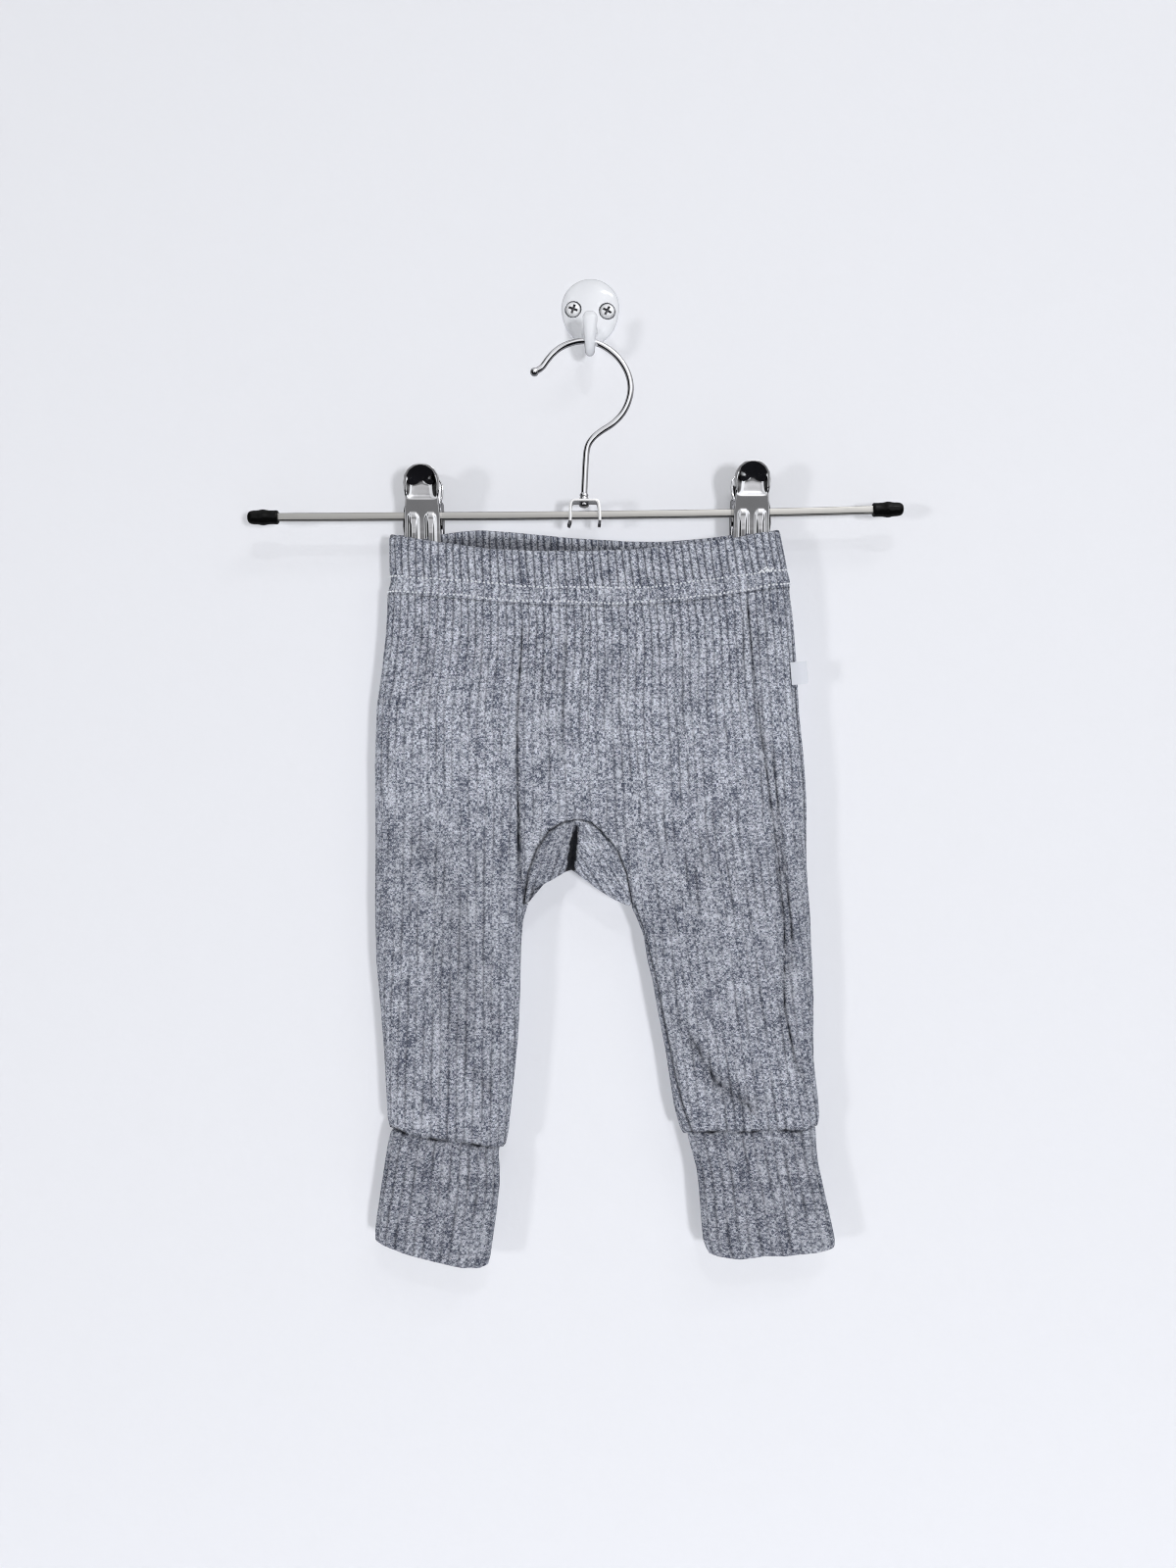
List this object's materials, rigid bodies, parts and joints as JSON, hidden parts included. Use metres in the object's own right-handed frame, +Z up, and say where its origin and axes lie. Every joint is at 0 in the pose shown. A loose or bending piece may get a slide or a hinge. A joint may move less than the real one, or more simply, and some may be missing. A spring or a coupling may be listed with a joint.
{
  "type": "baby leggings on a clip hanger and wall hook",
  "caption": "Ribbed baby leggings with a fold-over waistband, crotch gusset and long cuffs, hung from a metal clip hanger on a screwed wall hook.",
  "frame": {"origin": "centre of the wall plate's flat back face, where it meets the wall", "axes": "+X to the right seen from the front, +Z up, +Y into the wall; the garment hangs at Y between -32 mm and -8 mm"},
  "size_m": [0.3413, 0.0319, 0.5201],
  "materials": {
    "rib_knit": "heather grey rib knit, matt and slightly brushed",
    "label_tape": "plain white woven tape",
    "chrome": "bright chrome plate",
    "brushed_nickel": "satin nickel plate",
    "rubber": "black, satin",
    "enamel": "glossy white enamel",
    "screw_steel": "plated screw head"
  },
  "bodies": {
    "root": {"waistband": "rib_knit", "front_panel": "rib_knit", "back_panel": "rib_knit", "gusset": "rib_knit", "cuff_left": "rib_knit", "cuff_right": "rib_knit", "side_label": "label_tape", "hanger_bar": "brushed_nickel", "bar_cap_left": "rubber", "bar_cap_right": "rubber", "hanger_hook": "chrome", "hook_bracket": "chrome", "clip_left_front": "chrome", "clip_left_back": "chrome", "clip_left_spring": "chrome", "clip_right_front": "chrome", "clip_right_back": "chrome", "clip_right_spring": "chrome", "wall_hook": "enamel", "wall_hook_screw_left": "screw_steel", "wall_hook_screw_right": "screw_steel"}
  },
  "joints": []
}
